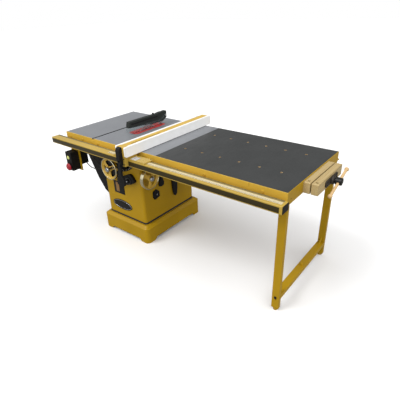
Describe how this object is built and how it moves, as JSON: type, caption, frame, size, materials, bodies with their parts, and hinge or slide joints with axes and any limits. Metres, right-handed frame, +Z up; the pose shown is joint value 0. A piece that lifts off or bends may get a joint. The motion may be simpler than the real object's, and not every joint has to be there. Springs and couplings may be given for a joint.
{
  "type": "cabinet table saw with bench extension",
  "caption": "Tilting-blade table saw on an enclosed cabinet, with a long front rip rail, T-square fence, blade guard, bench extension on legs and an end vise",
  "frame": {"origin": "centre of the bounding box on the floor plane", "axes": "+X right along the rip rail towards the vise, +Y from the operator to the back of the table, +Z up"},
  "size_m": [2.29, 1.016, 0.979],
  "materials": {
    "gold_paint": "satin mustard-gold powder coat",
    "rail_gold": "satin gold powder coat, lighter on the top faces",
    "black_paint": "satin black",
    "cast_iron": "ground surface with fine lengthwise machining marks",
    "dark_iron": "as-cast, painted dark grey",
    "laminate": "dark grey laminate, low sheen",
    "core": "birch plywood edge",
    "maple": "oiled light hardwood",
    "white_face": "white polyethylene",
    "steel": "machined steel",
    "chrome": "bright chrome",
    "black_plastic": "moulded black plastic",
    "black_rubber": "black rubber",
    "red_plastic": "red",
    "green_plastic": "yellow-green",
    "clear": "clear polycarbonate",
    "tape": "printed steel tape, plain graduations"
  },
  "bodies": {
    "frame": {"plinth": "gold_paint", "cabinet": "gold_paint", "dust_port": "black_plastic", "table_main": "cast_iron", "wing_left": "cast_iron", "wing_right": "cast_iron", "throat_insert": "red_plastic", "front_angle": "rail_gold", "rail_tube": "rail_gold", "rail_tape": "tape", "rear_angle": "gold_paint", "bench_core": "core", "bench_laminate": "laminate", "bench_frame": "gold_paint", "legs": "gold_paint", "leg_crossbar": "gold_paint", "leg_feet": "gold_paint", "vise_inner_jaw": "maple", "switch_plate": "rail_gold", "switch_box": "black_plastic", "tilt_scale": "black_paint", "badge": "black_paint", "trunnions": "dark_iron", "bolts": "black_paint"},
    "tilt_unit": {"cradle": "dark_iron", "splitter": "steel", "guard_arm": "black_plastic"},
    "guard_pivot": {"shield_pin": "steel"},
    "guard_shields": {"shields": "clear"},
    "arbor_unit": {"arm_casting": "dark_iron", "motor": "black_paint", "belt": "black_rubber", "blade_shroud": "dark_iron"},
    "arbor_spindle": {"arbor": "steel", "blade": "steel", "arbor_nut": "steel"},
    "motor_rotor": {"motor_pulley": "steel"},
    "lift_spindle": {"lift_screw": "steel"},
    "raise_wheel": {"handwheel_raise": "rail_gold", "raise_shaft": "steel"},
    "raise_crank": {"crank_raise": "chrome"},
    "raise_lock": {"knob_raise": "chrome"},
    "tilt_wheel": {"handwheel_tilt": "rail_gold", "tilt_shaft": "steel"},
    "tilt_crank": {"crank_tilt": "chrome"},
    "tilt_lock": {"knob_tilt": "chrome"},
    "rip_fence": {"fence_tube": "rail_gold", "fence_faces": "white_face", "fence_head": "rail_gold", "fence_cap": "black_plastic", "fence_cursor": "clear"},
    "fence_handle": {"fence_lever": "black_plastic"},
    "start": {"start_button": "green_plastic"},
    "stop": {"stop_button": "red_plastic"},
    "cover": {"motor_cover": "black_paint"},
    "vise_jaw": {"vise_outer_jaw": "maple", "vise_rods": "dark_iron"},
    "vise_spindle": {"vise_screw": "black_paint"},
    "vise_bar": {"vise_handle": "maple"}
  },
  "joints": [
    {"name": "blade_tilt", "type": "hinge", "parent": "frame", "child": "tilt_unit", "pos_m": [-0.555, -0.024, 0.864], "axis": [0, -1, 0], "range_deg": [0, 45]},
    {"name": "shield_follow", "type": "hinge", "parent": "tilt_unit", "child": "guard_pivot", "pos_m": [-0.555, 0.326, 0.938], "axis": [-1, 0, 0], "range_deg": [0, 12.01]},
    {"name": "shield_lift", "type": "hinge", "parent": "guard_pivot", "child": "guard_shields", "pos_m": [-0.555, 0.326, 0.938], "axis": [-1, 0, 0], "range_deg": [0, 45]},
    {"name": "blade_raise", "type": "slide", "parent": "tilt_unit", "child": "arbor_unit", "axis": [0, 0, 1], "range_m": [-0.038, 0.043]},
    {"name": "arbor_spin", "type": "hinge", "parent": "arbor_unit", "child": "arbor_spindle", "pos_m": [-0.595, 0.118, 0.773], "axis": [1, 0, 0], "continuous": true},
    {"name": "motor_spin", "type": "hinge", "parent": "arbor_unit", "child": "motor_rotor", "pos_m": [-0.735, -0.024, 0.629], "axis": [1, 0, 0], "continuous": true},
    {"name": "lift_turn", "type": "hinge", "parent": "tilt_unit", "child": "lift_spindle", "pos_m": [-0.585, -0.062, 0.65], "axis": [0, 0, 1], "range_deg": [-2740, 3100]},
    {"name": "raise_turn", "type": "hinge", "parent": "tilt_unit", "child": "raise_wheel", "pos_m": [-0.585, -0.324, 0.632], "axis": [0, -1, 0], "range_deg": [-2740, 3100]},
    {"name": "raise_crank_spin", "type": "hinge", "parent": "raise_wheel", "child": "raise_crank", "pos_m": [-0.5125, -0.344, 0.66581], "axis": [0, -1, 0], "continuous": true},
    {"name": "raise_lock_turn", "type": "hinge", "parent": "raise_wheel", "child": "raise_lock", "pos_m": [-0.585, -0.344, 0.632], "axis": [0, -1, 0], "range_deg": [0, 180]},
    {"name": "tilt_turn", "type": "hinge", "parent": "frame", "child": "tilt_wheel", "pos_m": [-0.235, -0.212, 0.597], "axis": [1, 0, 0], "range_deg": [0, 7201]},
    {"name": "tilt_crank_spin", "type": "hinge", "parent": "tilt_wheel", "child": "tilt_crank", "pos_m": [-0.205, -0.1395, 0.63081], "axis": [1, 0, 0], "continuous": true},
    {"name": "tilt_lock_turn", "type": "hinge", "parent": "tilt_wheel", "child": "tilt_lock", "pos_m": [-0.215, -0.212, 0.597], "axis": [1, 0, 0], "range_deg": [0, 180]},
    {"name": "fence_slide", "type": "slide", "parent": "frame", "child": "rip_fence", "axis": [1, 0, 0], "range_m": [-0.21, 0.997]},
    {"name": "fence_lock", "type": "hinge", "parent": "rip_fence", "child": "fence_handle", "pos_m": [-0.22, -0.49, 0.822], "axis": [-1, 0, 0], "range_deg": [0, 30]},
    {"name": "start_press", "type": "slide", "parent": "frame", "child": "start", "axis": [0, 1, 0], "range_m": [0, 0.004]},
    {"name": "stop_press", "type": "slide", "parent": "frame", "child": "stop", "axis": [0, 1, 0], "range_m": [0, 0.005]},
    {"name": "cover_open", "type": "hinge", "parent": "frame", "child": "cover", "pos_m": [-0.767, 0.17, 0.5], "axis": [0, 0, -1], "range_deg": [0, 90]},
    {"name": "vise_slide", "type": "slide", "parent": "frame", "child": "vise_jaw", "axis": [1, 0, 0], "range_m": [-0.0078, 0.15]},
    {"name": "vise_turn", "type": "hinge", "parent": "vise_jaw", "child": "vise_spindle", "pos_m": [1.005, 0.071, 0.82], "axis": [1, 0, 0], "range_deg": [-360, 6800]},
    {"name": "vise_bar_slide", "type": "slide", "parent": "vise_spindle", "child": "vise_bar", "axis": [0, 0.9466, 0.3223], "range_m": [-0.08, 0.1]}
  ],
  "couplings": [
    {"joint": "shield_follow", "follows": "blade_tilt", "ratio": 0.26667},
    {"joint": "motor_spin", "follows": "arbor_spin", "ratio": 0.6579},
    {"joint": "lift_turn", "follows": "blade_raise", "rad_per_m": 1256.6},
    {"joint": "raise_turn", "follows": "blade_raise", "rad_per_m": 1256.6},
    {"joint": "tilt_turn", "follows": "blade_tilt", "ratio": 160},
    {"joint": "vise_turn", "follows": "vise_slide", "rad_per_m": 785.4}
  ]
}
